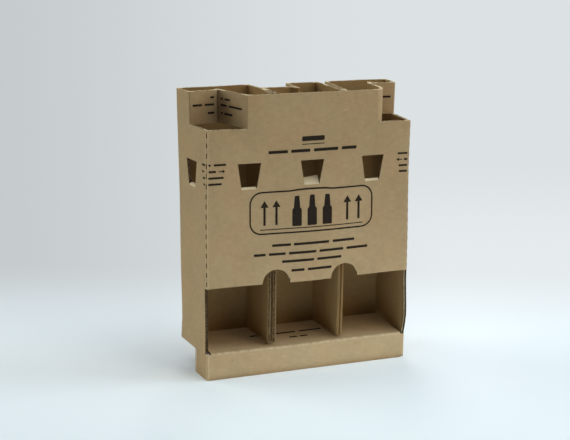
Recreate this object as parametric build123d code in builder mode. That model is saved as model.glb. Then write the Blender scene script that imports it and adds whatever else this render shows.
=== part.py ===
"""Bottle cradle: a three-cell bottle holder folded from one sheet of corrugated board."""

import os
from itertools import pairwise
from math import atan2, cos, degrees, radians, sin

from build123d import *

# Driving dimensions, in millimetres
board = 4.0
front_width = 279.2
depth = 89.0
height = 368.5
shoulder_height = 326.5
window_top = 123.0
window_left_wrap = 6.0
window_right_wrap = 1.5
shelf_height = 36.0
foot_depth = 38.5
rear_leg_inset = 8.0

# The folded box stands slightly out of square: how far each side leans out at the back
left_splay = 10.2
right_splay = 1.0

# Dividers: where they stand along the front, and how their two walls run
left_divider_offset = -49.1
right_divider_offset = 46.4
divider_foot = 40.0
divider_gap = 2.4
glued_divider_mouth = 7.0
glued_divider_fork = 36.5
glued_divider_lean = 4.5
glue_bite = 0.1
pleat_nose = 4.3
pleat_left_mouth = 7.0
pleat_right_mouth = 7.5
pleat_knee = 3.4
pleat_knee_depth = 60.5

# Front corners pushed in over the shoulders: their creases, and the small pleat at each tip
left_side_crease = 49.0
left_tower_edge = 52.5
left_pushed_width = 33.5
left_pushed_skew = 4.5
right_side_crease = 54.5
right_tower_edge = 48.2
right_pushed_width = 28.5
right_pushed_skew = 2.5
tip_pleat_width = 7.2
tip_pleat_depth = 7.0
tip_pleat_step = 2.0
crushed_reach = 17.6
crushed_depth = 32.0

# The middle cell's back corner, pushed forwards beside the glued divider
back_push_depth = 33.5
back_push_width = 49.5
back_push_nose = 10.6
back_push_nose_width = 6.6
back_push_skew = 0.8

# Push tabs, and the finger notches in the window's top edge
tab_base_width = 20.0
tab_tip_width = 31.4
tab_length = 34.0
tab_drop = 78.0
tab_pitch = 84.4
tab_offset = 1.8
tucked_angle = 172.0
tucked_crown = 3.0
tuck_bite = 0.2
buckled_angle = 65.0
buckled_rise = 13.5
notch_radius = 18.8
notch_pitch = 94.0
notch_offset = 1.4

# The board itself: its liners and flutes, and the dashes cut along the corner creases
liner = 0.4
flute_pitch = 7.9
flute_foot = 6.2
flute_slope = 48.0
flute_depth = 4.0
edge_channel = 4.0
dash_length = 6.35
dash_pitch = 12.7
dash_width = 0.8

# Clearances and small cuts
shelf_side_gap = 1.8
shelf_back_gap = 0.5
worn_corner_radius = 7.0
clear_cut = 0.5

# Places that follow from them; the origin is under the middle of the whole footprint
half = board / 2
hollow = board - 2 * liner
tab_crease_height = shoulder_height - tab_drop
front_middle = (max(left_splay, 0) - max(right_splay, 0)) / 2
y_front = -depth / 2 + half
y_back = depth / 2 - half
front_left = (front_middle - front_width / 2 + half, y_front)
front_right = (front_middle + front_width / 2 - half, y_front)
back_left = (front_left[0] - left_splay, y_back)
back_right = (front_right[0] + right_splay, y_back)
divider_front = y_front + half + divider_gap
left_divider = front_middle + left_divider_offset
right_divider = front_middle + right_divider_offset


def at_depth(start, end, y):
    """The point at depth y on the line from start to end."""
    share = (y - start[1]) / (end[1] - start[1])
    return (start[0] + (end[0] - start[0]) * share, y)


def board_line(*points):
    """Draw the board's section along a line of creases: round on the outside of each fold."""
    for start, end in pairwise(points):
        run = Vector(*end) - Vector(*start)
        with Locations((Vector(*start) + Vector(*end)) / 2):
            Rectangle(run.length, board, rotation=degrees(atan2(run.Y, run.X)))
    with Locations(*points[1:-1]):
        Circle(half)


def flutes(*points):
    """Draw the hollows between the liners and the fluting, along each run between creases."""
    for start, end in pairwise(points):
        run = Vector(*end) - Vector(*start)
        middle = (Vector(*start) + Vector(*end)) / 2
        count = int((run.length - board - flute_pitch / 2) / flute_pitch)
        if count > 0:
            with Locations(Location(middle, (0, 0, degrees(atan2(run.Y, run.X))))):
                with Locations((-flute_pitch / 4, 0)):
                    with GridLocations(flute_pitch, 0, count, 1):
                        Trapezoid(flute_foot, hollow, flute_slope)
                with Locations((flute_pitch / 4, 0)):
                    with GridLocations(flute_pitch, 0, count, 1):
                        Trapezoid(flute_foot, hollow, flute_slope, rotation=180)


def channel(*ends):
    """Draw the open channel between the liners where a cut runs along the flutes."""
    with Locations(*ends):
        Rectangle(hollow, 2 * edge_channel, mode=Mode.SUBTRACT)


# The glued divider: the two ends of the blank, stuck together at the back and apart at the front
glued_left_wall = [
    (left_divider - glued_divider_mouth / 2, divider_front),
    (left_divider - half, y_front + glued_divider_fork),
    (left_divider - half - glued_divider_lean, y_back),
]
glued_right_wall = [
    (left_divider + glued_divider_mouth / 2, divider_front),
    (left_divider + half - glue_bite, y_front + glued_divider_fork),
    (left_divider + half - glue_bite - glued_divider_lean, y_back),
]

# The folded divider: a pleat of the back panel, closed at the front and open at the back
folded_divider = [
    (right_divider - pleat_left_mouth, y_back),
    (right_divider - pleat_knee, y_front + pleat_knee_depth),
    (right_divider - pleat_nose / 2, divider_front + half),
    (right_divider + pleat_nose / 2, divider_front + half),
    (right_divider + pleat_right_mouth, y_back),
]

# A pushed-in front corner: the corner's crease turned inwards, with a small pleat at its tip
left_crease = at_depth(front_left, back_left, y_front + left_side_crease)
left_tip = (left_crease[0] + left_pushed_width, left_crease[1] + left_pushed_skew)
left_pushed_corner = [
    left_crease,
    left_tip,
    (left_tip[0] + tip_pleat_width / 2, left_tip[1] + tip_pleat_depth),
    (left_tip[0] + tip_pleat_width, left_tip[1] - tip_pleat_step),
    (front_left[0] + left_tower_edge, y_front),
]
right_crease = at_depth(front_right, back_right, y_front + right_side_crease)
right_tip = (right_crease[0] - right_pushed_width, right_crease[1] + right_pushed_skew)
crushed_start = (front_right[0] - right_tower_edge, y_front)
crushed_end = (crushed_start[0] + crushed_reach, y_front + crushed_depth)
right_pushed_corner = [
    crushed_end,
    (right_tip[0] - tip_pleat_width, right_tip[1] - tip_pleat_step),
    (right_tip[0] - tip_pleat_width / 2, right_tip[1] + tip_pleat_depth),
    right_tip,
    right_crease,
]

# The middle cell's back corner: its own panel stands across the cell, then turns back
back_push_line = y_back - back_push_depth
back_push_end = (glued_right_wall[2][0] + back_push_width, y_back)
back_push_start = at_depth(*glued_right_wall[1:], back_push_line)
back_push_turn = (back_push_end[0] - back_push_skew, back_push_line - back_push_nose + half)
back_pushed_corner = [
    back_push_end,
    back_push_turn,
    (back_push_turn[0] - back_push_nose_width, back_push_line),
    back_push_start,
]

# The foot's ends, the leg, and the shelf
outer_corners = [back_left, front_left, front_right, back_right]
shelf_underside = shelf_height - board
shelf_level = shelf_height - half
window_left_edge = at_depth(front_left, back_left, window_left_wrap - depth / 2)
window_right_edge = at_depth(front_right, back_right, window_right_wrap - depth / 2)
left_foot_end = at_depth(front_left, back_left, foot_depth - depth / 2)
right_foot_end = at_depth(front_right, back_right, foot_depth - depth / 2)
rear_leg = [
    (glued_right_wall[-1][0] + rear_leg_inset, y_back),
    (folded_divider[0][0] - rear_leg_inset, y_back),
]
shelf_left = front_left[0] + half + shelf_side_gap
shelf_right = min(front_right[0], back_right[0]) - half - shelf_side_gap
shelf_back = y_back - half - shelf_back_gap

tab_places = [tab_offset + tab_pitch * step for step in (-1, 0, 1)]

front_face = Plane(origin=(front_middle, -depth / 2, 0), x_dir=(1, 0, 0), z_dir=(0, -1, 0))


def side_face(start, end, outwards):
    """The outer face of a side panel, with its origin half way back."""
    along = (Vector(*end) - Vector(*start)).normalized()
    normal = Vector(along.Y, -along.X) * outwards
    origin = (Vector(*start) + Vector(*end)) / 2 + normal * half
    return Plane(origin=origin, x_dir=along * outwards, z_dir=normal)


left_face = side_face(front_left, back_left, -1)
right_face = side_face(front_right, back_right, 1)


def tab_outline(base_width, tip_width, length):
    """A tab: narrow along its crease and wide at its free end."""
    Polygon(
        (-base_width / 2, 0),
        (base_width / 2, 0),
        (tip_width / 2, length),
        (-tip_width / 2, length),
        align=None,
    )


def tab_hole(face, place):
    """Cut the opening that a push tab leaves in its panel."""
    with BuildSketch(face) as hole:
        with Locations((place, tab_crease_height)):
            tab_outline(tab_base_width, tab_tip_width, tab_length)
    extrude(hole.sketch, amount=-board - clear_cut, mode=Mode.SUBTRACT)


def tab_leaf(face, place, rise, depth_in, lean, length, base_width, tip_width):
    """One flat stretch of a tab: lean is its angle from straight up, turning inwards."""
    direction = face.y_dir * cos(radians(lean)) - face.z_dir * sin(radians(lean))
    start = face.from_local_coords(Vector(place, tab_crease_height + rise, -depth_in))
    with BuildSketch(Plane(start, x_dir=face.x_dir, z_dir=face.x_dir.cross(direction))) as leaf:
        tab_outline(base_width, tip_width, length)
    extrude(leaf.sketch, amount=half, both=True)


def fold(face, place, rise, depth_in, radius, crown, width):
    """The round back of a fold that runs along a panel: crown is how high it stands."""
    start = face.from_local_coords(Vector(place, tab_crease_height + rise, -depth_in))
    with BuildSketch(Plane(start, x_dir=face.y_dir, z_dir=face.x_dir)) as back:
        Ellipse(crown, radius)
    extrude(back.sketch, amount=width / 2, both=True)


def tucked_tab(face, place):
    """A push tab folded in and right down behind its panel."""
    fold(face, place, 0, board, board, tucked_crown, tab_base_width)
    depth_in = board + half - tuck_bite
    tab_leaf(face, place, 0, depth_in, tucked_angle, tab_length, tab_base_width, tab_tip_width)


def buckled_tab(face, place):
    """A push tab pushed part of the way in, and bent over half way along."""
    bend_width = tab_base_width + (tab_tip_width - tab_base_width) * buckled_rise / tab_length
    rise = buckled_rise * cos(radians(buckled_angle))
    depth_in = half + buckled_rise * sin(radians(buckled_angle))
    rest = tab_length - buckled_rise
    fold(face, place, 0, half, half, half, tab_base_width)
    tab_leaf(face, place, 0, half, buckled_angle, buckled_rise, tab_base_width, bend_width)
    fold(face, place, rise, depth_in, half, half, bend_width)
    tab_leaf(face, place, rise, depth_in, tucked_angle, rest, bend_width, tab_tip_width)


with BuildPart() as cradle:
    # The foot: the fascia and the sides in front, and the middle back panel's leg
    with BuildSketch():
        board_line(left_foot_end, front_left, front_right, right_foot_end)
        channel(left_foot_end, right_foot_end)
        board_line(*rear_leg)
    extrude(amount=shelf_underside)

    # Under the dividers' feet the sheet still runs round the back, apart from their mouths
    with BuildSketch(Plane.XY.offset(shelf_underside)):
        board_line(glued_left_wall[-1], *outer_corners, folded_divider[-1])
        board_line(folded_divider[0], glued_right_wall[-1])
        with Locations(glued_left_wall[-1], glued_right_wall[-1]):
            Circle(half)
    extrude(amount=divider_foot - shelf_underside)

    # From the dividers' feet to the shoulders the whole sheet runs round from end to end
    with BuildSketch(Plane.XY.offset(divider_foot)):
        board_line(
            *glued_left_wall,
            *outer_corners,
            *reversed(folded_divider),
            *reversed(glued_right_wall),
        )
        channel(glued_left_wall[0], glued_right_wall[0])
    extrude(amount=shoulder_height - divider_foot)

    # Above the shoulders two front corners and one back corner of the sheet are pushed in
    with BuildSketch(Plane.XY.offset(shoulder_height)):
        board_line(*glued_left_wall, back_left, *left_pushed_corner, crushed_start)
        with BuildLine() as crushed_fold:
            Spline(crushed_start, crushed_end, tangents=((1, 0), (0, 1)))
        trace(crushed_fold.line, board)
        board_line(
            *right_pushed_corner,
            back_right,
            *reversed(folded_divider),
            *back_pushed_corner,
            *reversed(glued_right_wall[:2]),
        )
        channel(glued_left_wall[0], glued_right_wall[0])
    extrude(amount=height - shoulder_height)

    # Window across the front, from the fascia's fold up, wrapping a little on to both sides
    with BuildSketch(Plane.XY.offset(shelf_height - half)):
        with Locations((front_middle, -depth / 2)):
            Rectangle(front_width - 2 * board, board + clear_cut, align=(Align.CENTER, Align.MIN))
            Rectangle(front_width, window_left_wrap, align=(Align.MAX, Align.MIN))
            Rectangle(front_width, window_right_wrap, align=(Align.MIN, Align.MIN))
        with Locations(window_left_edge, window_right_edge):
            Rectangle(hollow, 2 * edge_channel)
    extrude(amount=window_top - shelf_height + half, mode=Mode.SUBTRACT)

    # Finger notches over the dividers
    with BuildSketch(front_face):
        with Locations((notch_offset, window_top)):
            with GridLocations(notch_pitch, 0, 2, 1):
                Circle(notch_radius)
    extrude(amount=-board - clear_cut, mode=Mode.SUBTRACT)

    # Shelf: the window's own board, folded in level from the top of the fascia
    with BuildSketch(Plane.YZ.offset(shelf_left)):
        board_line((y_front, shelf_level - board), (y_front, shelf_level), (shelf_back, shelf_level))
    extrude(amount=shelf_right - shelf_left)

    # The fascia's right-hand bottom corner is worn round
    with BuildSketch(front_face):
        with Locations((front_width / 2, 0)):
            Rectangle(worn_corner_radius, worn_corner_radius, align=(Align.MAX, Align.MIN))
        with Locations((front_width / 2 - worn_corner_radius, worn_corner_radius)):
            Circle(worn_corner_radius, mode=Mode.SUBTRACT)
    extrude(amount=-board - clear_cut, mode=Mode.SUBTRACT)

    # Push tabs and the holes they leave
    for place in tab_places:
        tab_hole(front_face, place)
    for face in (left_face, right_face):
        tab_hole(face, 0)
        tucked_tab(face, 0)
    tucked_tab(front_face, tab_places[0])
    buckled_tab(front_face, tab_places[1])
    tucked_tab(front_face, tab_places[2])

    # Dashes cut through the four corner creases
    for corner, turn, foot, top in (
        (front_left, -45, window_top, shoulder_height),
        (front_right, 45, window_top, shoulder_height),
        (back_left, 45, divider_foot, height),
        (back_right, -45, divider_foot, height),
    ):
        across = Vector(1, 0).rotate(Axis.Z, turn)
        middle = (*corner, (foot + top) / 2)
        with BuildSketch(Plane(middle, x_dir=(0, 0, 1), z_dir=across)):
            with GridLocations(dash_pitch, 0, int((top - foot) / dash_pitch), 1):
                Rectangle(dash_length, 2 * board)
        extrude(amount=dash_width / 2, both=True, mode=Mode.SUBTRACT)

    # Flutes that show along the top edges and the shoulders
    with BuildSketch(Plane.XY.offset(height)):
        flutes(*glued_left_wall, back_left, *left_pushed_corner, crushed_start)
        flutes(
            *right_pushed_corner,
            back_right,
            *reversed(folded_divider),
            *back_pushed_corner,
            *reversed(glued_right_wall[:2]),
        )
    extrude(amount=-flute_depth, mode=Mode.SUBTRACT)
    with BuildSketch(Plane.XY.offset(shoulder_height)):
        flutes(left_crease, front_left, (front_left[0] + left_tower_edge - board, y_front))
        flutes((crushed_start[0] + board, y_front), front_right, right_crease)
    extrude(amount=-flute_depth, mode=Mode.SUBTRACT)

cradle.part.label = "folded_board"

os.makedirs("parts", exist_ok=True)
export_step(cradle.part, "parts/folded_board.step")
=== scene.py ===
"""Looks of the bottle cradle: kraft board with printed marks, in a plain pale studio."""

from math import ceil, copysign, cos, pi, radians, sin

import bmesh
import bpy
from mathutils import Matrix, Vector, noise
from mathutils.bvhtree import BVHTree


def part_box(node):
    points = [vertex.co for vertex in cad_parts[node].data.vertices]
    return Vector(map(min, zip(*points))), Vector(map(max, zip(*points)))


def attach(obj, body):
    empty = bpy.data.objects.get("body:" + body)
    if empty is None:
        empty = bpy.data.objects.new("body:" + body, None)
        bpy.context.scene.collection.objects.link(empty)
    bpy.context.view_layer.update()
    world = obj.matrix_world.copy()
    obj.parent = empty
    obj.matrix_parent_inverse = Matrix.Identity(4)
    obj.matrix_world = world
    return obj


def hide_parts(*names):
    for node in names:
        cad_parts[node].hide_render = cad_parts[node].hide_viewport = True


MM = 0.001
X, Y, Z = range(3)
NODE = "folded_board"

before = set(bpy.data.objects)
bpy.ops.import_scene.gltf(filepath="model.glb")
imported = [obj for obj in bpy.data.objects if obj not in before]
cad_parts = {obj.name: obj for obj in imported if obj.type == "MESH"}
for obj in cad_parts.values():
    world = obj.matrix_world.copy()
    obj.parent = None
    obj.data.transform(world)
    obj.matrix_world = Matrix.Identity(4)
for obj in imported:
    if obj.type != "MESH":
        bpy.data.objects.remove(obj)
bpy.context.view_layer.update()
low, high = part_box(NODE)

# Places on the board, from its own box and the sizes it was cut to
FRONT = low.y
BACK = high.y
TOP = high.z
BOARD = 4 * MM
FRONT_WIDTH = 279.2 * MM
LEFT_SPLAY = 10.2 * MM
RIGHT_SPLAY = 1 * MM
FRONT_MIDDLE = (LEFT_SPLAY - RIGHT_SPLAY) / 2
FRONT_LEFT = FRONT_MIDDLE - FRONT_WIDTH / 2
FRONT_RIGHT = FRONT_MIDDLE + FRONT_WIDTH / 2
FRONT_LINE = FRONT + BOARD / 2
BACK_LINE = -FRONT_LINE
LEFT_CORNER = (FRONT_LEFT + BOARD / 2, FRONT_LINE)
RIGHT_CORNER = (FRONT_RIGHT - BOARD / 2, FRONT_LINE)
LEFT_BACK_CORNER = (LEFT_CORNER[0] - LEFT_SPLAY, BACK_LINE)
RIGHT_BACK_CORNER = (RIGHT_CORNER[0] + RIGHT_SPLAY, BACK_LINE)
CORNERS = (LEFT_CORNER, RIGHT_CORNER, LEFT_BACK_CORNER, RIGHT_BACK_CORNER)
SHOULDER = 326.5 * MM
SHELF = 36 * MM
TAB_CREASE = 248.5 * MM
TAB_HEIGHT = 12 * MM
FLUTE_PITCH = 7.9 * MM
FLUTE_DEPTH = 4 * MM
FLUTE_FLOORS = (TOP - FLUTE_DEPTH, SHOULDER - FLUTE_DEPTH)

# The pushed-in corners: where each crease stands in plan
LEFT_CREASE = (LEFT_CORNER[0] - 5.9 * MM, FRONT_LINE + 49 * MM)
LEFT_TIP = (LEFT_CREASE[0] + 33.5 * MM, LEFT_CREASE[1] + 4.5 * MM)
LEFT_PLEAT_END = (LEFT_TIP[0] + 7.2 * MM, LEFT_TIP[1] - 2 * MM)
LEFT_TOWER_EDGE = (LEFT_CORNER[0] + 52.5 * MM, FRONT_LINE)
RIGHT_CREASE = (RIGHT_CORNER[0] + 0.6 * MM, FRONT_LINE + 54.5 * MM)
RIGHT_TIP = (RIGHT_CREASE[0] - 28.5 * MM, RIGHT_CREASE[1] + 2.5 * MM)

# The two dividers, and the nose of the pleat that makes the right-hand one
DIVIDERS = (-44.5 * MM, 51 * MM)
DIVIDER_FOOT = 40 * MM
DIVIDER_REACH = 14 * MM
PLEAT_NOSE = (FRONT_MIDDLE + 46.4 * MM, FRONT + 6.4 * MM)

# How finely the sheet is cut so that it can bend, and what counts as one place
GRID = 12 * MM
SAME_PLACE = 0.002 * MM
CLOSE = SAME_PLACE * 10

# How far the worn sheet strays from flat
WAVER = 1.5 * MM
WAVER_SEED = 5
WAVER_LENGTH = 115 * MM
WAVER_FREE = 60 * MM
LEAN = 1.4 * MM
LEAN_MIDDLE = 215 * MM
LEAN_LENGTH = 560 * MM
BOW = 1.9 * MM
CRUSH = 3.6 * MM
TAB_MIDDLE = 6.4 * MM
TAB_LIFT = 2 * MM
TAB_TWIST = 0.12
FOOT_SAG = 3.7 * MM
FRAY = 0.45 * MM
FRAY_LENGTH = 7 * MM

# Where each bend acts, in millimetres: from where it starts to where it is full
LEAN_START = (30, 60)
LEFT_LEAN_REACH = ((X, -100, -140), (Y, -44, 43))
RIGHT_LEAN_SIDE = (60, 140)
RIGHT_LEAN_TURN = (-30, 43)
BOW_REACH = ((X, 120, 137), (Y, 20, -40), (Z, 38, 52), (Z, 108, 68))
CRUSH_REACH = ((X, 92, 106), (X, 122, 114), (Y, 4, -8))
TAB_SIDES = (24, 16)
TAB_REACH = ((Z, 232, 246), (Z, 272, 258), (Y, -20, -24))
TAB_TWIST_START = (-43.5, -36)
FOOT_SAG_START = (-10, 25)

# The dashed creases: corner, turn of the cut in degrees, middle of one dash, foot of the row
DASHED = (
    (LEFT_CORNER, -45, 231.1 * MM, 124 * MM),
    (RIGHT_CORNER, 45, 231.1 * MM, 124 * MM),
    (LEFT_BACK_CORNER, 45, 204.25 * MM, 41 * MM),
    (RIGHT_BACK_CORNER, -45, 204.25 * MM, 41 * MM),
)
DASH_PITCH = 12.7 * MM
DASH_HALF = 0.4 * MM
DASH_REACH = 7 * MM
DASH_CLOSING = 0.5

# Finishes of the faces, told apart by the depth of board behind them and by where they are; the inside,
# fluting and upright ones are darker copies that carry painted shade
LINER, CUT, FLUTING, INSIDE, UPRIGHT = range(5)
LINER_DEPTH = (2 * MM, 9.5 * MM)
CREASE_ANGLE = radians(50)
SHARP_ANGLE = radians(28)
LEVEL = 0.9999
STEEP = 0.3
DIAGONAL = 0.01
DASH_AREA = 40 * MM * MM
# Upright cut edges left of this get the dark upright finish, painted shade; those to its right the pale cut
# finish
UPRIGHT_SHADE_LIMIT = 120 * MM

# The print: how it stands off the liner, and where its middle is on the front
MARK_LIFT = 0.1 * MM
MARK_THICKNESS = 0.15 * MM
PRINT_MIDDLE = 4 * MM

# Rows of plain bars, in millimetres: height, thickness, and each bar's two ends
FRONT_ROWS = (
    (310, 6.2, (-12.4, 18)),
    (303, 1.1, (-12.4, 18)),
    (295, 3.9, (-57, -31), (-26.5, -1), (4, 37), (42, 62.6)),
    (174.1, 3.3, (-51.5, -26), (-22, 27), (32, 62.4)),
    (162.5, 3.3, (-75.7, -60), (-55.5, -33), (-28.5, 9), (13.5, 47), (51.5, 81.2)),
    (151.8, 3.3, (-37.7, 6), (10.5, 44.4)),
    (139.1, 3.3, (-25, -7), (-2.5, 30.6)),
)
SHELF_ROWS = (
    (4, 4.4, (-60, -50), (-24, 4), (9, 41), (60, 71)),
    (-14.5, 4.4, (-11, 0), (4, 14.5)),
)

# Rows of small bars on the pushed-in corners and round the front corners: height, and each bar's two ends
SMALL_BAR = 2.6
CORNER_GAP = 1.2
LEFT_OUTER_ROWS = (
    (359.4, (26, 31.2)),
    (350.2, (2.5, 15), (18.5, 31.2)),
    (339.6, (22.5, 31.2)),
)
LEFT_INNER_ROWS = (
    (357.4, (1, 6), (9.5, 20.5)),
    (349.4, (1, 13), (17.5, 45)),
    (339, (1, 5), (8.5, 25)),
)
RIGHT_OUTER_ROWS = (
    (359.4, (1, 8)),
    (349.4, (1, 9), (13, 24.4)),
    (339, (1, 10)),
)
LEFT_TAB_ROWS = (
    (282.8, (-11, 4), (8, 24)),
    (274.6, (1.5, 11)),
    (266.6, (-8, 21)),
    (258.8, (-6, 18.5)),
)
RIGHT_TAB_ROWS = (
    (282.8, (-15.4, 0), (4, 18)),
    (274.6, (-6, 5)),
    (266.6, (-13.5, 16)),
    (258.8, (-13, 12)),
)
TAB_ARROW_HEIGHT = 274.6
TAB_ARROW_SIZE = (8.5, 4.6)
LEFT_TAB_ARROWS = (-2.5, 14.5)
RIGHT_TAB_ARROWS = (-8.5, 8.5)

# The framed picture on the front, in millimetres
PICTURE_BOX = (-82, 88, 189, 245)
PICTURE_LINE = 2
PICTURE_RADIUS = 16
BOTTLES = (-18, 3, 24)
BOTTLE_FOOT = 198
BOTTLE_SIZE = (13, 39)
BOTTLE_BEVEL = 0.8
ARROWS = (-62, -46, 52, 68)
ARROW_FOOT = 201
ARROW_SIZE = (32, 11)
GROUND_ROW = (195.4, 1.2, (-68, 74))

# Wear of the liner by its folds, the pleat's nose and score, painted light on the left corner and the tab
# folds, and painted shade along the dashes; a pair says where it starts to fade and where it has faded
FOLD_WEAR = 3.2 * MM
FOLD_WEAR_CORE = FOLD_WEAR * 0.4
CORNER_WEAR = 0.45
CORNER_LIGHT_REACH = (BOARD * 0.51, BOARD * 0.6)
NOSE = (2.8 * MM, 4.2 * MM)
SCORE = (0.5 * MM, 1.4 * MM)
DASH_SHADE_WIDTH = (0.4 * MM, 1 * MM)
DASH_FOOT = 2 * MM
DASH_COSINE = (-0.1, 0.25)
CREASE_OUT = BOARD * 0.35
TAB_FOLD_FOOT = (TAB_CREASE - 1 * MM, TAB_CREASE)
TAB_FOLD_TOP = (TAB_CREASE + TAB_HEIGHT, TAB_CREASE + TAB_HEIGHT * 1.1)
TAB_FOLD_FACING = (0.1, 0.5)

# One pale scuff and one dark fleck on the front: x, z, half length, half height, slope
SCUFF = (49.5 * MM, 344 * MM, 6.5 * MM, 1.5 * MM, 0.3)
SCUFF_SHARE = 0.3
FLECK = (-100.4 * MM, 23.9 * MM, 1.7 * MM, 0.8 * MM, 0.6)
FLECK_SHARE = 0.8
PATCH_FADE = (0.2, 1.0)
FRONT_SKIN = (FRONT + BOARD * 0.6, FRONT + BOARD * 0.8)

# Noise in the materials: the size of its features, and its detail
CLOUDS = (70 * MM, 3.0)
MOTTLE = (7 * MM, 3.0)
FIBRES = (0.8 * MM, 4.0)
FLECKS = (1.1 * MM, 1.0)
REDNESS = (45 * MM, 2.0)
RUBBING = (5 * MM, 4.0)
TORN_FIBRES = (2.2 * MM, 4.0)
THIN_PRINT = (1.3 * MM, 3.0)
FIBRE_STRETCH = 0.07
REDNESS_SHIFT = (3.0, 5.0, 7.0)

# How that noise is used: from this value to that, and what it gives there if not 0 and 1
TONE_RANGE = (0.48, 1.07)
REDNESS_RANGE = (0.42, 0.66)
FLECK_RANGE = (0.70, 0.78, 0.0, 0.55)
RUBBING_RANGE = (0.35, 0.62, 0.1, 0.75)
ROUGHNESS_RANGE = (0.3, 0.7, 0.78, 0.92)
TORN_RANGE = (0.36, 0.6)
THIN_RANGE = (0.45, 0.75)

# From what part of its normal to what part a face starts to count as facing along an axis
FACING_RANGE = (0.5, 0.8)

# Colours, as linear values
KRAFT_PALE = (0.490, 0.345, 0.186, 1)
KRAFT_DEEP = (0.390, 0.266, 0.136, 1)
KRAFT_RED = (1.03, 0.985, 0.96, 1)
KRAFT_SPECK = (0.20, 0.13, 0.07, 1)
# Painted light that lifts the shade on the round left corner
CORNER_PAINTED_LIGHT = (1.18, 1.18, 1.18, 1)
INSIDE_SHADE = (0.77, 0.69, 0.52, 1)
DASH_SHADE = (0.13, 0.11, 0.09, 1)
SCORE_SHADE = (0.28, 0.23, 0.17, 1)
NOSE_SHADE = (0.66, 0.6, 0.5, 1)
WORN = (0.60, 0.47, 0.29, 1)
# Painted highlight where the tab folds face up
FOLD_HIGHLIGHT = (0.70, 0.57, 0.365, 1)
EDGE_PALE = (0.68, 0.55, 0.35, 1)
EDGE_DEEP = (0.36, 0.255, 0.135, 1)
# Painted shade in the flute hollows and the dash slots
HOLLOW_SHADE_PALE = (0.20, 0.13, 0.066, 1)
HOLLOW_SHADE_DEEP = (0.10, 0.062, 0.03, 1)
# Painted shade on the steep cut edges
UPRIGHT_SHADE_PALE = (0.27, 0.172, 0.085, 1)
UPRIGHT_SHADE_DEEP = (0.05, 0.03, 0.014, 1)
INK = (0.016, 0.010, 0.006, 1)
INK_THIN = (0.045, 0.029, 0.017, 1)
FLOOR_COLOUR = (0.82, 0.865, 0.88, 1)
BLACK = (0, 0, 0, 1)

# Camera, from the photograph's perspective
CAMERA_PLACE = (-545.53 * MM, -1442.1 * MM, 590.74 * MM)
CAMERA_YAW = 20.24
CAMERA_PITCH = 14.47
CAMERA_ROLL = 0.59
FOCAL_PIXELS = 1206.77
PHOTO_WIDTH = 570
SENSOR = 36.0
FAR_CLIP = 100

# Lamps, in metres and watts: name, place, the point it is turned to, size, energy, colour
LAMPS = (
    ("overhead", (0.2, -0.3, 1.9), (0.05, -0.2, 0), 1.6, 22, (0.82, 0.92, 1.0)),
    ("right_front_high", (1.2, -1.8, 1.6), (0, 0, 0.1), 1.0, 9.2, (1.0, 0.91, 0.73)),
    ("right_front_low", (1.5, -1.8, 0.6), (0, 0, 0.15), 1.0, 4.3, (1.0, 0.64, 0.3)),
    ("right", (2.0, -0.6, 1.2), (0, 0, 0.1), 1.0, 23, (0.72, 0.89, 1.0)),
    ("back_left", (-1.8, 1.2, 1.2), (0, 0, 0.15), 1.6, 20, (0.97, 1.0, 0.99)),
    ("back_left_low", (-2.0, 1.0, 0.5), (0, 0, 0.15), 1.6, 10.5, (0.87, 1.0, 0.87)),
    ("back_high", (0.3, 1.6, 1.6), (0, 0, 0.1), 1.0, 13, (1.0, 0.95, 0.97)),
    ("bounce", (0.05, -0.24, 0.0005), (0.05, -0.24, 1), 0.38, 0.52, (0.66, 0.84, 1.0)),
)

# The floor, in metres: how far it throws light back, and where the backdrop and the horizon start and end
FLOOR_SIZE = 60
FLOOR_PARTS = 8
TABLE_NEAR = 0.7
TABLE_FAR = 1.5
TABLE_DARK = 0.06
BACKDROP_START = 1.55
BACKDROP_ROUND = 1.1
BACKDROP_END = 2.0
HORIZON = (10, 20)

# How bright the backdrop looks, where 1 is white; a side is the distance aside over the distance ahead
SKY_SEEN = 0.875
BACKDROP_LEFT = 0.68
BACKDROP_RIGHT = 0.875
BACKDROP_SIDES = (-0.28, 0.09)
BACKDROP_LOW = 0.09
LOW_SIDES = (0.0, 0.15)
LOW_DEPTHS = (2.0, 2.9)
NEAR_LIFT = 0.13
NEAR_LEFT = (-0.12, -0.03)
NEAR_RIGHT = (0.14, 0.26)
LEAST_DEPTH = 1.0


def make_camera():
    camera = bpy.data.objects.new("camera", bpy.data.cameras.new("camera"))
    bpy.context.scene.collection.objects.link(camera)
    turn = Matrix.Rotation(radians(-CAMERA_YAW), 4, "Z")
    tilt = Matrix.Rotation(radians(90 - CAMERA_PITCH), 4, "X")
    roll = Matrix.Rotation(radians(CAMERA_ROLL), 4, "Z")
    camera.matrix_world = Matrix.Translation(CAMERA_PLACE) @ turn @ tilt @ roll
    camera.data.sensor_width = SENSOR
    camera.data.lens = FOCAL_PIXELS / PHOTO_WIDTH * SENSOR
    camera.data.clip_end = FAR_CLIP
    bpy.context.scene.camera = camera


def area_light(name, place, target, size, energy, colour):
    light = bpy.data.objects.new(name, bpy.data.lights.new(name, "AREA"))
    bpy.context.scene.collection.objects.link(light)
    light.data.shape = "SQUARE"
    light.data.size = size
    light.data.energy = energy
    light.data.color = colour
    light.location = place
    light.rotation_euler = (Vector(target) - Vector(place)).to_track_quat("-Z", "Y").to_euler()
    light.visible_camera = False


def new_material(name, roughness, specular):
    """A material with nodes: itself, its tree, and its shader with what is the same all over."""
    material = bpy.data.materials.new(name)
    material.use_nodes = True
    shader = material.node_tree.nodes["Principled BSDF"]
    shader.inputs["Roughness"].default_value = roughness
    shader.inputs["Specular IOR Level"].default_value = specular
    return material, material.node_tree, shader


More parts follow.
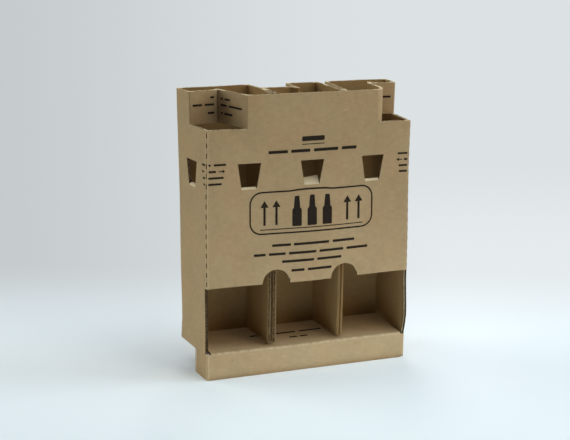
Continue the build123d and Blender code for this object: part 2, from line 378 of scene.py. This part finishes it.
def add_node(tree, kind, inputs=None, **settings):
    """A node with its settings and inputs given; an input is a value or another node's socket."""
    node = tree.nodes.new(kind)
    for name, value in settings.items():
        setattr(node, name, value)
    for name, value in (inputs or {}).items():
        if isinstance(value, bpy.types.NodeSocket):
            tree.links.new(value, node.inputs[name])
        else:
            node.inputs[name].default_value = value
    return node


def calc(tree, operation, first, second=0.0):
    return add_node(tree, "ShaderNodeMath", {0: first, 1: second}, operation=operation).outputs[0]


def ramp(tree, value, start, end, first=0.0, last=1.0):
    """The value's share of the way from start to end, smoothly, from first to last."""
    inputs = {"Value": value, "From Min": start, "From Max": end, "To Min": first, "To Max": last}
    return add_node(tree, "ShaderNodeMapRange", inputs, interpolation_type="SMOOTHSTEP").outputs[0]


def mix(tree, share, first, second):
    """A number that passes from the first to the second."""
    return add_node(tree, "ShaderNodeMix", {"Factor": share, "A": first, "B": second}).outputs[0]


def blend(tree, share, first, second, blend_type="MIX"):
    """A colour that passes from the first to the second, or to their product."""
    node = add_node(tree, "ShaderNodeMix", data_type="RGBA", blend_type=blend_type)
    for name, value in (("Factor", share), ("A", first), ("B", second)):
        socket = next(s for s in node.inputs if s.name == name and s.enabled)
        if isinstance(value, bpy.types.NodeSocket):
            tree.links.new(value, socket)
        else:
            socket.default_value = value
    return next(s for s in node.outputs if s.enabled)


def add_up(tree, *parts):
    """The sum of some values, each times its weight."""
    total, *others = [calc(tree, "MULTIPLY", value, weight) for value, weight in parts]
    for other in others:
        total = calc(tree, "ADD", total, other)
    return total


def speckle(tree, place, size, detail):
    """Noise whose features are about this size, in metres."""
    inputs = {"Vector": place, "Scale": 1 / size, "Detail": detail}
    return add_node(tree, "ShaderNodeTexNoise", inputs).outputs[0]


def set_bump(tree, shader, height, strength, distance):
    inputs = {"Height": height, "Strength": strength, "Distance": distance}
    tree.links.new(add_node(tree, "ShaderNodeBump", inputs).outputs[0], shader.inputs["Normal"])


def make_world():
    """A world without light of its own, which the camera and gloss see as plain and pale."""
    world = bpy.data.worlds.new("studio")
    bpy.context.scene.world = world
    world.use_nodes = True
    tree = world.node_tree
    background = tree.nodes["Background"]
    background.inputs["Color"].default_value = FLOOR_COLOUR
    rays = add_node(tree, "ShaderNodeLightPath").outputs
    seen = calc(tree, "MAXIMUM", rays["Is Camera Ray"], rays["Is Glossy Ray"])
    tree.links.new(calc(tree, "MULTIPLY", seen, SKY_SEEN), background.inputs["Strength"])


def floor_places(tree):
    """A floor place's distance from the object, and its depth and side from where the photo was taken."""
    place = add_node(tree, "ShaderNodeTexCoord").outputs["Object"]
    away = add_node(tree, "ShaderNodeVectorMath", {0: place}, operation="LENGTH").outputs["Value"]
    start = Matrix.Rotation(radians(CAMERA_YAW), 3, "Z") @ -Vector(CAMERA_PLACE)
    inputs = {"Vector": place, "Location": start, "Rotation": (0, 0, radians(CAMERA_YAW))}
    turned = add_node(tree, "ShaderNodeMapping", inputs).outputs[0]
    across, depth, _ = add_node(tree, "ShaderNodeSeparateXYZ", {0: turned}).outputs
    side = calc(tree, "DIVIDE", across, calc(tree, "MAXIMUM", depth, LEAST_DEPTH))
    return away, depth, side


def backdrop_level(tree, away, depth, side):
    """How bright the backdrop looks: more to the right, most of all low down, and plain far away."""
    level = ramp(tree, side, *BACKDROP_SIDES, BACKDROP_LEFT, BACKDROP_RIGHT)
    low_down = ramp(tree, depth, *LOW_DEPTHS, BACKDROP_LOW, 0.0)
    low_right = calc(tree, "MULTIPLY", ramp(tree, side, *LOW_SIDES), low_down)
    return mix(tree, ramp(tree, away, *HORIZON), calc(tree, "ADD", level, low_right), SKY_SEEN)


def near_level(tree, side):
    """How much brighter the floor looks from the middle to the right, near the object."""
    fade = ramp(tree, side, *NEAR_RIGHT, NEAR_LIFT, NEAR_LIFT / 2)
    return calc(tree, "MULTIPLY", ramp(tree, side, *NEAR_LEFT), fade)


def make_floor():
    """A wide pale floor that passes softly into a pale backdrop, which doesn't light the object."""
    bpy.ops.mesh.primitive_grid_add(x_subdivisions=FLOOR_PARTS, y_subdivisions=FLOOR_PARTS, size=FLOOR_SIZE)
    floor = bpy.context.object
    floor.name = "floor"
    material, tree, shader = new_material("floor", roughness=0.9, specular=0.0)
    away, depth, side = floor_places(tree)
    behind = ramp(tree, depth, BACKDROP_START, BACKDROP_END)
    backdrop = calc(tree, "MAXIMUM", behind, ramp(tree, away, BACKDROP_ROUND, BACKDROP_END))
    before = calc(tree, "SUBTRACT", 1.0, backdrop)
    seen = add_node(tree, "ShaderNodeLightPath").outputs["Is Camera Ray"]
    lit = mix(tree, seen, ramp(tree, away, TABLE_NEAR, TABLE_FAR, 1.0, TABLE_DARK), before)
    tree.links.new(blend(tree, lit, BLACK, FLOOR_COLOUR), shader.inputs["Base Color"])
    shader.inputs["Emission Color"].default_value = FLOOR_COLOUR
    far = calc(tree, "MULTIPLY", backdrop_level(tree, away, depth, side), backdrop)
    near = calc(tree, "MULTIPLY", near_level(tree, side), before)
    glow = calc(tree, "MULTIPLY", calc(tree, "ADD", far, near), seen)
    tree.links.new(glow, shader.inputs["Emission Strength"])
    floor.data.materials.append(material)


def make_studio():
    bpy.context.scene.view_settings.view_transform = "Standard"
    make_world()
    for lamp in LAMPS:
        area_light(*lamp)
    make_floor()


def sheet_places(tree):
    """Places on the sheet before it strays, the ways along and up each panel, and how far it faces up."""
    place = add_node(tree, "ShaderNodeAttribute", attribute_name="flat_place").outputs["Vector"]
    x, y, z = add_node(tree, "ShaderNodeSeparateXYZ", {0: place}).outputs
    normal = add_node(tree, "ShaderNodeNewGeometry").outputs["Normal"]
    facing = add_node(tree, "ShaderNodeSeparateXYZ", {0: normal}).outputs
    along = mix(tree, ramp(tree, calc(tree, "ABSOLUTE", facing["X"]), *FACING_RANGE), x, y)
    upwards = mix(tree, ramp(tree, calc(tree, "ABSOLUTE", facing["Z"]), *FACING_RANGE), z, y)
    return place, (x, y, z), along, upwards, facing["Z"]


def near_line(tree, first, second, line, start, end):
    """How near a point is to a straight fold, given two of its coordinates: 1 up to start, 0 from end."""
    across = calc(tree, "SUBTRACT", first, line[0])
    over = calc(tree, "SUBTRACT", second, line[1])
    squares = calc(tree, "ADD", calc(tree, "MULTIPLY", across, across), calc(tree, "MULTIPLY", over, over))
    return ramp(tree, calc(tree, "SQRT", squares), start, end, 1.0, 0.0)


def worn_folds(tree, x, y, z):
    """Where the liner is rubbed pale: the corners and the shelf's fold."""
    total = near_line(tree, y, z, (FRONT, SHELF), FOLD_WEAR_CORE, FOLD_WEAR)
    for corner in CORNERS:
        near = near_line(tree, x, y, corner, FOLD_WEAR_CORE, FOLD_WEAR)
        total = calc(tree, "MAXIMUM", total, calc(tree, "MULTIPLY", near, CORNER_WEAR))
    return total


def painted_dash_shade(tree, x, y, z):
    """Painted shade along each dash of the corner creases."""
    total = 0.0
    for corner, _, middle, foot in DASHED:
        crease = [place + copysign(CREASE_OUT, place) for place in corner]
        turns = calc(tree, "MULTIPLY", calc(tree, "SUBTRACT", z, middle), 2 * pi / DASH_PITCH)
        near = near_line(tree, x, y, crease, *DASH_SHADE_WIDTH)
        near = calc(tree, "MULTIPLY", near, ramp(tree, z, foot, foot + DASH_FOOT))
        near = calc(tree, "MULTIPLY", near, ramp(tree, calc(tree, "COSINE", turns), *DASH_COSINE))
        total = calc(tree, "MAXIMUM", total, near)
    return total


def tab_fold_highlight(tree, z, facing_up):
    """Painted highlight on the push tabs' folds: what faces up near their creases."""
    above = ramp(tree, z, *TAB_FOLD_FOOT)
    below = ramp(tree, z, *TAB_FOLD_TOP, 1.0, 0.0)
    facing = ramp(tree, facing_up, *TAB_FOLD_FACING)
    return calc(tree, "MULTIPLY", calc(tree, "MULTIPLY", above, below), facing)


def patch(tree, x, y, z, spot):
    """A small soft-edged patch on the front face."""
    middle_x, middle_z, half_length, half_height, slope = spot
    across = calc(tree, "SUBTRACT", x, middle_x)
    rise = calc(tree, "SUBTRACT", z, middle_z)
    rise = calc(tree, "SUBTRACT", rise, calc(tree, "MULTIPLY", across, slope))
    across = calc(tree, "DIVIDE", across, half_length)
    rise = calc(tree, "DIVIDE", rise, half_height)
    squares = calc(tree, "ADD", calc(tree, "MULTIPLY", across, across), calc(tree, "MULTIPLY", rise, rise))
    in_front = ramp(tree, y, *FRONT_SKIN, 1.0, 0.0)
    return calc(tree, "MULTIPLY", ramp(tree, squares, *PATCH_FADE, 1.0, 0.0), in_front)


def kraft_colour(tree, place, tone):
    """Brown board of uneven tone, redder in places, with dark flecks."""
    colour = blend(tree, ramp(tree, tone, *TONE_RANGE), KRAFT_DEEP, KRAFT_PALE)
    shifted = add_node(tree, "ShaderNodeVectorMath", {0: place, 1: REDNESS_SHIFT}).outputs[0]
    redness = ramp(tree, speckle(tree, shifted, *REDNESS), *REDNESS_RANGE)
    colour = blend(tree, redness, colour, KRAFT_RED, "MULTIPLY")
    flecks = ramp(tree, speckle(tree, place, *FLECKS), *FLECK_RANGE)
    return blend(tree, flecks, colour, KRAFT_SPECK)


def add_wear(tree, colour, place, x, y, z):
    """The board's colour with its rubbed folds, the scuff and the fleck."""
    rubbing = ramp(tree, speckle(tree, place, *RUBBING), *RUBBING_RANGE)
    worn = calc(tree, "MULTIPLY", worn_folds(tree, x, y, z), rubbing)
    colour = blend(tree, worn, colour, WORN)
    scuff = calc(tree, "MULTIPLY", patch(tree, x, y, z, SCUFF), SCUFF_SHARE)
    colour = blend(tree, scuff, colour, WORN)
    fleck = calc(tree, "MULTIPLY", patch(tree, x, y, z, FLECK), FLECK_SHARE)
    return blend(tree, fleck, colour, KRAFT_SPECK)


def shade_inside(tree, colour, x, y):
    """Painted shade over the inside's colour, darkest down the score in the pleat's nose."""
    # Painted shade: the inside is a darker copy of the liner
    colour = blend(tree, 1.0, colour, INSIDE_SHADE, "MULTIPLY")
    colour = blend(tree, near_line(tree, x, y, PLEAT_NOSE, *NOSE), colour, NOSE_SHADE, "MULTIPLY")
    return blend(tree, near_line(tree, x, y, PLEAT_NOSE, *SCORE), colour, SCORE_SHADE, "MULTIPLY")


def mark_outside(tree, colour, x, y, z, facing_up):
    """The printed side's painted highlight on its tab folds, painted light on its left corner against the
    rounding's shade, and painted shade along its dashes.
    """
    # Painted highlight on the upward faces of the tab folds
    colour = blend(tree, tab_fold_highlight(tree, z, facing_up), colour, FOLD_HIGHLIGHT)
    # Painted light on the round left corner, against the shade its rounding takes
    corner = near_line(tree, x, y, LEFT_CORNER, *CORNER_LIGHT_REACH)
    colour = blend(tree, corner, colour, CORNER_PAINTED_LIGHT, "MULTIPLY")
    # Painted shade along the dashes of the corner creases
    return blend(tree, painted_dash_shade(tree, x, y, z), colour, DASH_SHADE, "MULTIPLY")


def kraft_material(name, is_inside):
    """Brown liner: cloudy, with fine level fibres, flecks, worn folds and the flutes showing through."""
    material, tree, shader = new_material(name, roughness=0.85, specular=0.22)
    place, (x, y, z), along, upwards, facing_up = sheet_places(tree)
    inputs = {"X": calc(tree, "MULTIPLY", along, FIBRE_STRETCH), "Y": 0.0, "Z": upwards}
    thread = add_node(tree, "ShaderNodeCombineXYZ", inputs).outputs[0]
    clouds = speckle(tree, place, *CLOUDS)
    mottle = speckle(tree, place, *MOTTLE)
    fibres = speckle(tree, thread, *FIBRES)
    colour = kraft_colour(tree, place, add_up(tree, (clouds, 0.5), (mottle, 0.4), (fibres, 0.65)))
    colour = add_wear(tree, colour, place, x, y, z)
    if is_inside:
        colour = shade_inside(tree, colour, x, y)
    else:
        colour = mark_outside(tree, colour, x, y, z, facing_up)
    tree.links.new(colour, shader.inputs["Base Color"])
    tree.links.new(ramp(tree, mottle, *ROUGHNESS_RANGE), shader.inputs["Roughness"])
    ridges = calc(tree, "SINE", calc(tree, "MULTIPLY", along, 2 * pi / FLUTE_PITCH))
    height = add_up(tree, (ridges, 0.10), (fibres, 0.35), (mottle, 0.6))
    set_bump(tree, shader, height, strength=0.5, distance=0.25 * MM)
    return material


def edge_material(name, pale, deep):
    """Cut board: torn pale fibres over darker hollows."""
    material, tree, shader = new_material(name, roughness=0.92, specular=0.1)
    place = add_node(tree, "ShaderNodeTexCoord").outputs["Object"]
    torn = speckle(tree, place, *TORN_FIBRES)
    tree.links.new(blend(tree, ramp(tree, torn, *TORN_RANGE), deep, pale), shader.inputs["Base Color"])
    set_bump(tree, shader, torn, strength=0.8, distance=0.5 * MM)
    return material


def ink_material():
    """Flat dark print, thin in places so that the board shows through."""
    material, tree, shader = new_material("ink", roughness=0.7, specular=0.1)
    place = add_node(tree, "ShaderNodeTexCoord").outputs["Object"]
    cover = ramp(tree, speckle(tree, place, *THIN_PRINT), *THIN_RANGE)
    tree.links.new(blend(tree, cover, INK, INK_THIN), shader.inputs["Base Color"])
    return material


def share(value, start, end):
    """How far the value is from start to end, which are in millimetres; kept between 0 and 1."""
    return min(max((value / MM - start) / (end - start), 0), 1)


def reach(point, spans):
    """How far the point is into a region: 0 outside it, and 1 where every span is full."""
    total = 1
    for axis, start, end in spans:
        total *= share(point[axis], start, end)
    return total


def lean(point):
    """How far the two sides lean off at this height: the left one at its back, the right one either way."""
    height = -LEAN * sin(2 * pi * (point.z - LEAN_MIDDLE) / LEAN_LENGTH) * share(point.z, *LEAN_START)
    left = reach(point, LEFT_LEAN_REACH)
    right = share(point.x, *RIGHT_LEAN_SIDE) * (1 - 2 * share(point.y, *RIGHT_LEAN_TURN))
    return Vector((height * (left + right), 0, 0))


def bow(point):
    """The right-hand side's front edge, bowed out a little beside the window."""
    return Vector((BOW * reach(point, BOW_REACH), 0, 0))


def crush(point):
    """The crushed right-hand end of the upper front, pushed in a little more."""
    if point.z < SHOULDER - CLOSE:
        return Vector()
    return Vector((-CRUSH * reach(point, CRUSH_REACH), 0, 0))


def tab_twist(point):
    """The middle push tab, bent up a little higher and on the skew."""
    across = point.x - TAB_MIDDLE
    here = share(abs(across), *TAB_SIDES) * reach(point, TAB_REACH)
    skew = TAB_TWIST * across * share(point.y, *TAB_TWIST_START)
    return Vector((0, 0, here * (TAB_LIFT + skew)))


def stray(point):
    """How far the worn sheet strays from the folded one here; it stays put on the floor."""
    free = min(point.z / WAVER_FREE, 1)
    waver = noise.noise_vector(point / WAVER_LENGTH) * WAVER * free
    return waver + lean(point) + bow(point) + crush(point) + tab_twist(point)


def dash_closing(point):
    """How far the two sides of a dash come together, since a blade takes nothing out."""
    for corner, turn, _, _ in DASHED:
        off = point - Vector((*corner, point.z))
        across = Vector((cos(radians(turn)), sin(radians(turn)), 0))
        side = off.dot(across)
        if off.length < DASH_REACH and abs(abs(side) - DASH_HALF) < CLOSE:
            return across * -side * DASH_CLOSING
    return Vector()


def is_upper_edge(height):
    """Whether the sheet's upper edge is at this height, at its top or at the shoulders."""
    return min(abs(height - TOP), abs(height - SHOULDER)) < CLOSE


def is_divider_foot(point):
    """Whether this is on the lower edge of a divider."""
    near = min(abs(point.x - divider) for divider in DIVIDERS) < DIVIDER_REACH
    return near and abs(point.z - DIVIDER_FOOT) < CLOSE


def cut_on_grid(mesh):
    """Cut the faces on a grid of planes, so that the mesh can bend."""
    for axis in (X, Y, Z):
        across = Vector(1 if axis == other else 0 for other in (X, Y, Z))
        places = [vertex.co[axis] for vertex in mesh.verts]
        step = ceil(min(places) / GRID)
        while step * GRID < max(places):
            geometry = mesh.verts[:] + mesh.edges[:] + mesh.faces[:]
            middle = across * step * GRID
            bmesh.ops.bisect_plane(mesh, geom=geometry, dist=SAME_PLACE, plane_co=middle, plane_no=across)
            step += 1


def board_depth(tree, face):
    """How much board is behind a face."""
    start = face.calc_center_median() - face.normal * SAME_PLACE
    found = tree.ray_cast(start, -face.normal)
    return found[3] if found[3] is not None else TOP


def is_level(face):
    return abs(face.normal.z) > LEVEL


def smooth_regions(mesh):
    """Groups of faces that run on into each other without a crease."""
    waiting = set(mesh.faces)
    groups = []
    for first in mesh.faces:
        if first not in waiting:
            continue
        waiting.discard(first)
        group = [first]
        for face in group:
            for edge in face.edges:
                for other in edge.link_faces:
                    if other not in waiting or is_level(other) != is_level(face):
                        continue
                    if face.normal.angle(other.normal, 0) < CREASE_ANGLE:
                        waiting.discard(other)
                        group.append(other)
        groups.append(group)
    return groups


def middle_depth(tree, group):
    """The depth of board behind half of a region's area."""
    depths = sorted((board_depth(tree, face), face.calc_area()) for face in group)
    half_area = sum(area for _, area in depths) / 2
    passed = 0
    for depth, area in depths:
        passed += area
        if passed >= half_area:
            return depth


def is_outside(group):
    """Whether a region is on the printed side: it reaches the front or the back, or is the shelf's top."""
    if is_level(group[0]):
        return group[0].normal.z > 0
    return any(abs(face.calc_center_median().y) > BACK - CLOSE for face in group)


def is_hollow(group):
    """Whether a region is a flute's floor, or a small level or diagonal face, as a dash has."""
    first = group[0]
    height = first.calc_center_median().z
    if is_level(first) and min(abs(height - floor) for floor in FLUTE_FLOORS) < CLOSE:
        return True
    is_small = sum(face.calc_area() for face in group) < DASH_AREA
    return is_small and abs(abs(first.normal.x) - abs(first.normal.y)) < DIAGONAL


def finish_of(tree, group):
    """A region's finish; deep-backed edges left of a given x get the upright finish with its painted shade,
    and those further right the pale cut finish.
    """
    if is_hollow(group):
        return FLUTING
    depth = middle_depth(tree, group)
    if depth < LINER_DEPTH[0]:
        top = max(vertex.co.z for face in group for vertex in face.verts)
        return CUT if is_upper_edge(top) else FLUTING
    if depth < LINER_DEPTH[1]:
        return LINER if is_outside(group) else INSIDE
    return UPRIGHT if group[0].calc_center_median().x < UPRIGHT_SHADE_LIMIT else CUT


def name_faces(mesh):
    """Give each face its finish: liner, inside, cut edge, upright edge or the hollows of the fluting; the
    inside, upright and fluting finishes carry painted shade.
    """
    mesh.normal_update()
    tree = BVHTree.FromBMesh(mesh)
    for group in smooth_regions(mesh):
        finish = finish_of(tree, group)
        for face in group:
            # Upright edges that slope up keep the pale cut finish; only the steep ones get the painted
            # shade
            is_sloping = finish == UPRIGHT and abs(face.normal.z) >= STEEP
            face.material_index = CUT if is_sloping else finish


def new_piece(name, mesh, *materials):
    """Make a piece of the object from a finished mesh."""
    data = bpy.data.meshes.new(name)
    mesh.to_mesh(data)
    mesh.free()
    for material in materials:
        data.materials.append(material)
    piece = bpy.data.objects.new(name, data)
    bpy.context.scene.collection.objects.link(piece)
    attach(piece, "root")
    return piece


def wear_sheet(mesh):
    """Put the sheet a little out of true and fray its upper edges; flat_place keeps where it was."""
    flat_place = mesh.verts.layers.float_vector.new("flat_place")
    for vertex in mesh.verts:
        point = vertex.co.copy()
        vertex[flat_place] = point
        vertex.co += stray(point) + dash_closing(point)
        if is_upper_edge(point.z):
            vertex.co.z -= FRAY * (0.5 + noise.noise(point / FRAY_LENGTH))
        if is_divider_foot(point):
            vertex.co.z -= FOOT_SAG * share(point.y, *FOOT_SAG_START)
    mesh.normal_update()


def smooth_sheet(mesh):
    """Shade the sheet smooth, apart from its sharp edges."""
    for face in mesh.faces:
        face.smooth = True
    for edge in mesh.edges:
        edge.smooth = edge.calc_face_angle(0) < SHARP_ANGLE


def make_sheet():
    """The folded board itself; its materials are in the order of the finishes."""
    mesh = bmesh.new()
    mesh.from_mesh(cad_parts[NODE].data)
    bmesh.ops.remove_doubles(mesh, verts=mesh.verts, dist=SAME_PLACE)
    name_faces(mesh)
    cut_on_grid(mesh)
    wear_sheet(mesh)
    smooth_sheet(mesh)
    liner = kraft_material("kraft_liner", is_inside=False)
    # The inside material is the liner with painted shade
    inside = kraft_material("kraft_inside", is_inside=True)
    cut = edge_material("cut_edge", EDGE_PALE, EDGE_DEEP)
    # The fluting's dark colours are painted shade in its hollows
    fluting = edge_material("fluting", HOLLOW_SHADE_PALE, HOLLOW_SHADE_DEEP)
    # The upright edges' dark colours are painted shade
    upright = edge_material("upright_edge", UPRIGHT_SHADE_PALE, UPRIGHT_SHADE_DEEP)
    sheet = new_piece("board_sheet", mesh, liner, cut, fluting, inside, upright)
    weighted = sheet.modifiers.new("panel_normals", "WEIGHTED_NORMAL")
    weighted.keep_sharp = True
    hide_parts(NODE)


def panel(origin, along, up=(0, 0, 1)):
    """A place on one face of the board: x runs along it, y up it, and z out of it."""
    along = Vector(along).normalized()
    up = Vector(up).normalized()
    turn = Matrix((along, up, along.cross(up))).transposed().to_4x4()
    return Matrix.Translation(origin) @ turn


def board_face(start, end, zero=0.0):
    """The printed face of a run of board, on its right in plan; zero is where its x starts, as a share."""
    start = Vector((*start, 0))
    end = Vector((*end, 0))
    face = panel(start.lerp(end, zero), end - start)
    return face @ Matrix.Translation((0, 0, BOARD / 2))


def lay(mesh, face, outline):
    """Print one filled outline, in millimetres, on a face of the board."""
    corners = [mesh.verts.new(face @ Vector((x * MM, y * MM, MARK_LIFT))) for x, y in outline]
    mesh.faces.new(corners)


def arc(x, y, radius, start, end, steps=6):
    """Points round part of a circle, with the angles in degrees."""
    turns = [radians(start + (end - start) * step / steps) for step in range(steps + 1)]
    return [(x + radius * cos(turn), y + radius * sin(turn)) for turn in turns]


def rounded(left, right, bottom, top, radius):
    """A box's outline with round corners."""
    return [
        *arc(right - radius, bottom + radius, radius, -90, 0),
        *arc(right - radius, top - radius, radius, 0, 90),
        *arc(left + radius, top - radius, radius, 90, 180),
        *arc(left + radius, bottom + radius, radius, 180, 270),
    ]


def lay_bars(mesh, face, height, thickness, *spans):
    """A row of plain bars with round corners."""
    bottom = height - thickness / 2
    top = height + thickness / 2
    for start, end in spans:
        lay(mesh, face, rounded(start, end, bottom, top, thickness / 4))


def lay_small_bars(mesh, face, rows):
    """Rows of small bars, each row with its height."""
    for height, *spans in rows:
        lay_bars(mesh, face, height, SMALL_BAR, *spans)


def lay_ring(mesh, face, outer, inner):
    """A closed line between two outlines with as many points each."""
    for i in range(len(outer)):
        lay(mesh, face, [outer[i - 1], outer[i], inner[i], inner[i - 1]])


def lay_arrow(mesh, face, x, y, length, size, turn):
    """A plain arrow from (x, y); turn is its direction in degrees."""
    head_length = size * 0.8
    neck = length - head_length
    half_shaft = size * 0.14
    shaft = [(0, -half_shaft), (neck, -half_shaft), (neck, half_shaft), (0, half_shaft)]
    head = [(neck, -size / 2), (length, 0), (neck, size / 2)]
    c, s = cos(radians(turn)), sin(radians(turn))
    for shape in (shaft, head):
        lay(mesh, face, [(x + a * c - b * s, y + a * s + b * c) for a, b in shape])


def lay_bottle(mesh, face, x, y, width, height):
    """A plain standing bottle's outline, filled."""
    half = width / 2
    neck = half * 0.36
    lip = neck * 1.3
    shoulder = half - neck
    body = height * 0.52
    neck_foot = height * 0.76
    lip_foot = height * 0.9
    outline = [
        (half - BOTTLE_BEVEL, 0),
        (half, BOTTLE_BEVEL),
        *arc(half - shoulder, body, shoulder, 0, 62),
        (neck, neck_foot),
        (neck, lip_foot),
        (lip, lip_foot),
        (lip, height),
    ]
    outline += [(-a, b) for a, b in reversed(outline)]
    lay(mesh, face, [(x + a, y + b) for a, b in outline])


def lay_picture(mesh, face):
    """A framed row of bottles on a line, with arrows that point up on both sides."""
    left, right, bottom, top = PICTURE_BOX
    outer = rounded(left, right, bottom, top, PICTURE_RADIUS)
    left, bottom = left + PICTURE_LINE, bottom + PICTURE_LINE
    right, top = right - PICTURE_LINE, top - PICTURE_LINE
    lay_ring(mesh, face, outer, rounded(left, right, bottom, top, PICTURE_RADIUS - PICTURE_LINE))
    for x in BOTTLES:
        lay_bottle(mesh, face, x, BOTTLE_FOOT, *BOTTLE_SIZE)
    for x in ARROWS:
        lay_arrow(mesh, face, x, ARROW_FOOT, *ARROW_SIZE, 90)
    lay_bars(mesh, face, *GROUND_ROW)


def front_marks(mesh):
    """The front panel's print: rows of bars and the framed picture."""
    face = panel((PRINT_MIDDLE, FRONT, 0), (1, 0, 0))
    for row in FRONT_ROWS:
        lay_bars(mesh, face, *row)
    lay_picture(mesh, face)


def lay_over_corner(mesh, before, after, height, *spans):
    """Small bars that may run over a corner, which is at 0 on both of its faces."""
    for start, end in spans:
        for face, left, right in (
            (before, start, min(end, -CORNER_GAP)),
            (after, max(start, CORNER_GAP), end),
        ):
            if right - left > CORNER_GAP:
                lay_bars(mesh, face, height, SMALL_BAR, (left, right))


def corner_marks(mesh, before, after, rows, arrows):
    """Rows of small bars that wrap round a front corner, with an arrow to the tab on each side."""
    for row in rows:
        lay_over_corner(mesh, before, after, *row)
    lay_arrow(mesh, before, arrows[0], TAB_ARROW_HEIGHT, *TAB_ARROW_SIZE, 180)
    lay_arrow(mesh, after, arrows[1], TAB_ARROW_HEIGHT, *TAB_ARROW_SIZE, 0)


def tab_marks(mesh):
    """The marks round both front corners."""
    left = board_face(LEFT_BACK_CORNER, LEFT_CORNER, 1)
    front_from_left = board_face(LEFT_CORNER, RIGHT_CORNER)
    corner_marks(mesh, left, front_from_left, LEFT_TAB_ROWS, LEFT_TAB_ARROWS)
    front_to_right = board_face(LEFT_CORNER, RIGHT_CORNER, 1)
    right = board_face(RIGHT_CORNER, RIGHT_BACK_CORNER)
    corner_marks(mesh, front_to_right, right, RIGHT_TAB_ROWS, RIGHT_TAB_ARROWS)


def pushed_in_marks(mesh):
    """The marks on the pushed-in corners, each side of the left one's own crease."""
    lay_small_bars(mesh, board_face(LEFT_CREASE, LEFT_TIP), LEFT_OUTER_ROWS)
    lay_small_bars(mesh, board_face(LEFT_PLEAT_END, LEFT_TOWER_EDGE), LEFT_INNER_ROWS)
    lay_small_bars(mesh, board_face(RIGHT_TIP, RIGHT_CREASE), RIGHT_OUTER_ROWS)


def shelf_marks(mesh):
    """Print on the shelf, partly under the dividers."""
    shelf = panel((0, 0, SHELF), (1, 0, 0), (0, 1, 0))
    for row in SHELF_ROWS:
        lay_bars(mesh, shelf, *row)


def make_marks():
    """The print: a thin film that follows the sheet."""
    mesh = bmesh.new()
    front_marks(mesh)
    tab_marks(mesh)
    pushed_in_marks(mesh)
    shelf_marks(mesh)
    bmesh.ops.triangulate(mesh, faces=mesh.faces)
    bmesh.ops.remove_doubles(mesh, verts=mesh.verts, dist=SAME_PLACE)
    cut_on_grid(mesh)
    for vertex in mesh.verts:
        vertex.co += stray(vertex.co)
    marks = new_piece("print_marks", mesh, ink_material())
    film = marks.modifiers.new("film", "SOLIDIFY")
    film.thickness = MARK_THICKNESS
    film.offset = -1


noise.seed_set(WAVER_SEED)
make_camera()
make_studio()
make_sheet()
make_marks()
